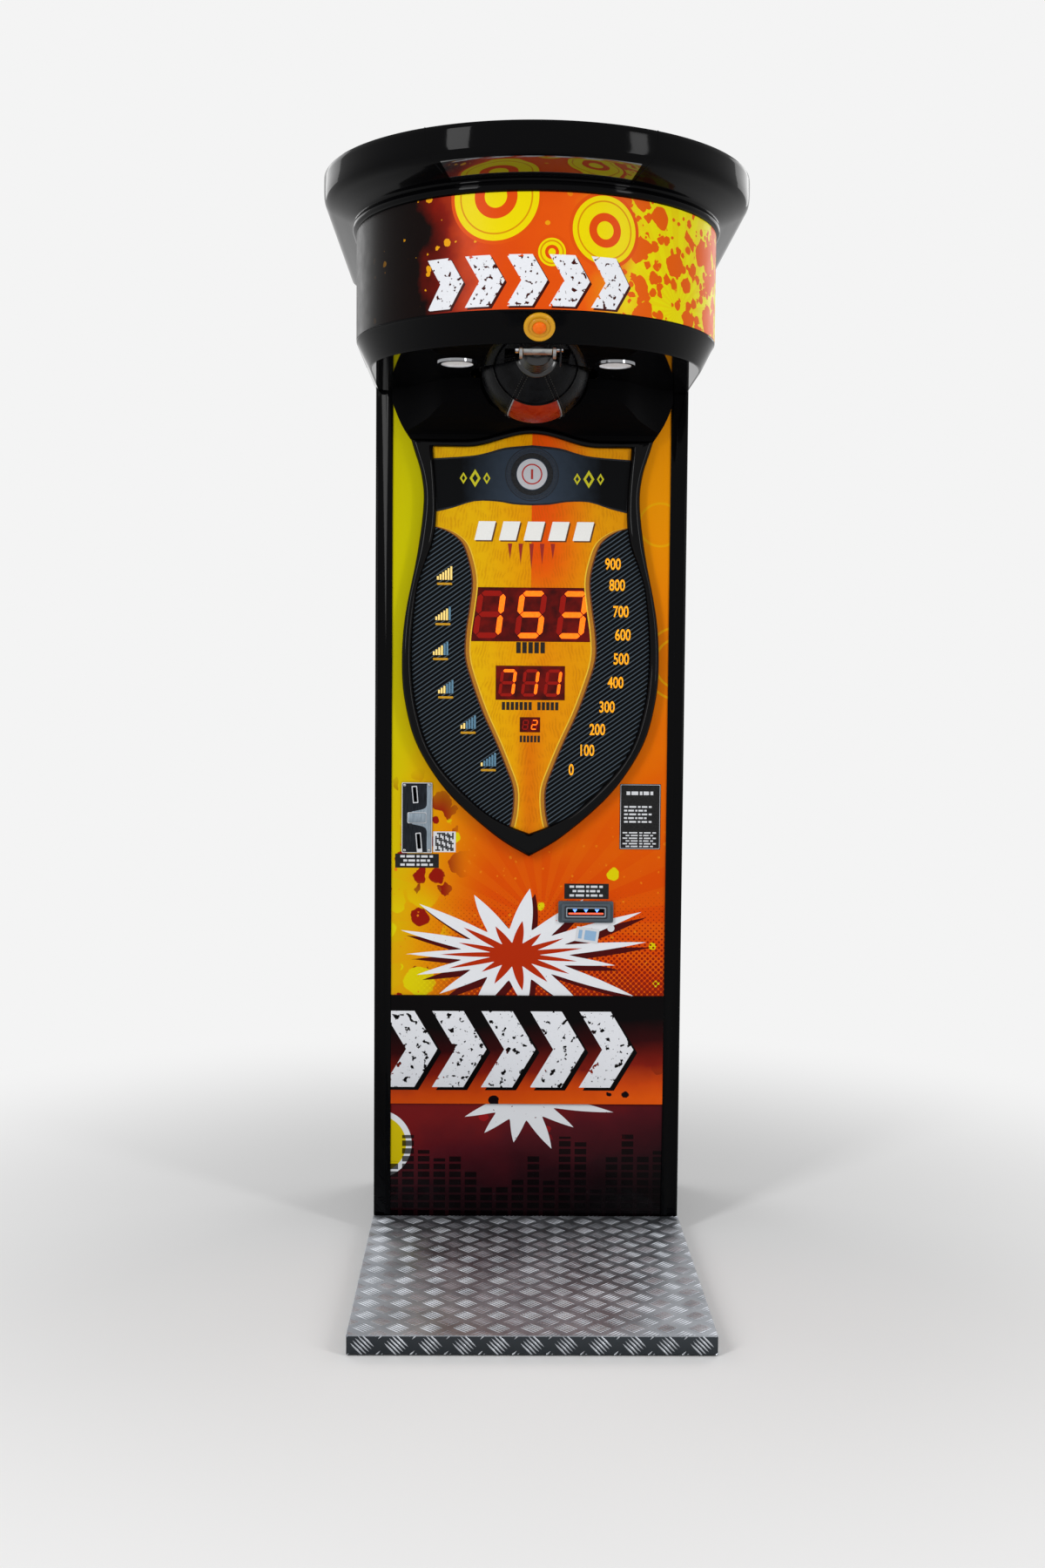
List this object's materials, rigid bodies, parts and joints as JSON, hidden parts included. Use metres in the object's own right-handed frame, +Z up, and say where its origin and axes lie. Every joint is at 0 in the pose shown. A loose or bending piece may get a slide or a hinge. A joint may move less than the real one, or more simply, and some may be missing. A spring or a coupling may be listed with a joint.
{
  "type": "boxing arcade machine",
  "caption": "Free-standing punching-ball arcade machine with a tread plate to stand on, a shield of digit displays and a round lit head from which the ball swings down.",
  "frame": {"origin": "under the middle of the machine's overall box, on the floor", "axes": "+X to the player's right, +Y from the player towards the machine, +Z up"},
  "size_m": [0.878, 1.18, 2.293],
  "materials": {
    "black_board": "satin black foil over board",
    "black_gloss": "high gloss",
    "black_steel": "powder coat",
    "tread": "rolled five-bar tread",
    "rubber": "matte",
    "zinc": "zinc plated",
    "chrome": "polished",
    "upper_print": "printed film under gloss",
    "strip_print": "printed film under gloss",
    "lower_print": "printed film under gloss",
    "band_print": "lit printed acrylic",
    "fascia_print": "printed polycarbonate",
    "display": "red seven-segment digits behind a dark lens",
    "raw_board": "raw board",
    "lamp_white": "frosted",
    "bronze": "sintered bronze",
    "ball_leather": "black leather with one red panel",
    "foam": "foam and rag filling",
    "dark_plastic": "moulded",
    "circuit": "green circuit board",
    "coin_metal": "dark brushed",
    "bezel_grey": "grey blue moulding",
    "start_amber": "amber, lit from behind",
    "rocker_red": "lit rocker"
  },
  "bodies": {
    "cabinet": {"base_rails": "black_steel", "base_crossbars": "black_steel", "tread_plate": "tread", "rubber_feet": "rubber", "wheel_brackets": "zinc", "front_posts": "black_gloss", "side_panels": "black_board", "front_panel_upper": "upper_print", "front_panel_strip": "strip_print", "front_panel_lower": "lower_print", "cabinet_shelves": "raw_board", "back_panels": "black_board", "door_hinges": "zinc", "head_frame": "zinc", "head_belt": "black_gloss", "head_band": "band_print", "head_crown": "black_gloss", "head_cover": "black_steel", "head_shoulders": "black_gloss", "head_underside": "black_gloss", "band_lamps": "lamp_white", "downlight_bezels": "chrome", "downlight_lenses": "lamp_white", "downlight_housings": "lamp_white", "swing_hanger": "zinc", "axle_bushes": "bronze", "speed_sensor": "dark_plastic", "latch_spring": "zinc", "latch_solenoid": "dark_plastic", "stop_bumper": "rubber", "shield_frame": "black_gloss", "ball_pocket": "black_gloss", "score_fascia": "fascia_print", "score_displays": "display", "circuit_boards": "circuit", "coin_plate": "coin_metal", "coin_validators": "dark_plastic", "cash_box": "zinc", "note_bezel": "bezel_grey", "note_acceptor": "dark_plastic", "start_bezel": "start_amber", "power_supply": "black_steel", "speaker": "dark_plastic", "power_inlet": "dark_plastic", "back_screws": "zinc"},
    "ball": {"swing_axle": "chrome", "ball_arm": "zinc", "ball_collar": "rubber", "ball_cover": "ball_leather", "ball_filling": "foam", "speed_disc": "dark_plastic"},
    "hook": {"latch_hook": "zinc"},
    "plunger": {"solenoid_plunger": "chrome"},
    "start": {"start_button": "start_amber"},
    "reject": {"reject_button": "chrome"},
    "door": {"rear_door": "black_board"},
    "lock": {"door_lock": "chrome"},
    "left_wheel": {"wheel_left": "rubber"},
    "right_wheel": {"wheel_right": "rubber"},
    "rocker": {"power_rocker": "rocker_red"}
  },
  "joints": [
    {"name": "ball_swing", "type": "hinge", "parent": "cabinet", "child": "ball", "pos_m": [0, -0.32, 1.925], "axis": [-1, 0, 0], "range_deg": [0, 90]},
    {"name": "latch_hook_lift", "type": "hinge", "parent": "cabinet", "child": "hook", "pos_m": [0, -0.355, 2.02], "axis": [1, 0, 0], "range_deg": [-22, 0]},
    {"name": "solenoid_plunger_slide", "type": "slide", "parent": "cabinet", "child": "plunger", "axis": [0, 0, 1], "range_m": [0, 0.0113]},
    {"name": "start_button_press", "type": "slide", "parent": "cabinet", "child": "start", "axis": [0, 0.7338, 0.6794], "range_m": [0, 0.004], "stiffness_N_per_m": 300},
    {"name": "reject_button_press", "type": "slide", "parent": "cabinet", "child": "reject", "axis": [0, 1, 0], "range_m": [0, 0.004], "stiffness_N_per_m": 300},
    {"name": "rear_door_swing", "type": "hinge", "parent": "cabinet", "child": "door", "pos_m": [-0.333, 0.536, 0.7025], "axis": [0, 0, 1], "range_deg": [0, 110]},
    {"name": "door_lock_turn", "type": "hinge", "parent": "door", "child": "lock", "pos_m": [0.3, 0.515, 0.7025], "axis": [0, 1, 0], "range_deg": [0, 90]},
    {"name": "left_wheel_spin", "type": "hinge", "parent": "cabinet", "child": "left_wheel", "pos_m": [-0.27, 0.561, 0.041], "axis": [1, 0, 0], "continuous": true},
    {"name": "right_wheel_spin", "type": "hinge", "parent": "cabinet", "child": "right_wheel", "pos_m": [0.27, 0.561, 0.041], "axis": [1, 0, 0], "continuous": true},
    {"name": "power_rocker_tilt", "type": "hinge", "parent": "cabinet", "child": "rocker", "pos_m": [-0.186, 0.528, 0.173], "axis": [1, 0, 0], "range_deg": [0, 16]}
  ],
  "couplings": [
    {"joint": "solenoid_plunger_slide", "follows": "latch_hook_lift", "m_per_rad": -0.029112}
  ]
}
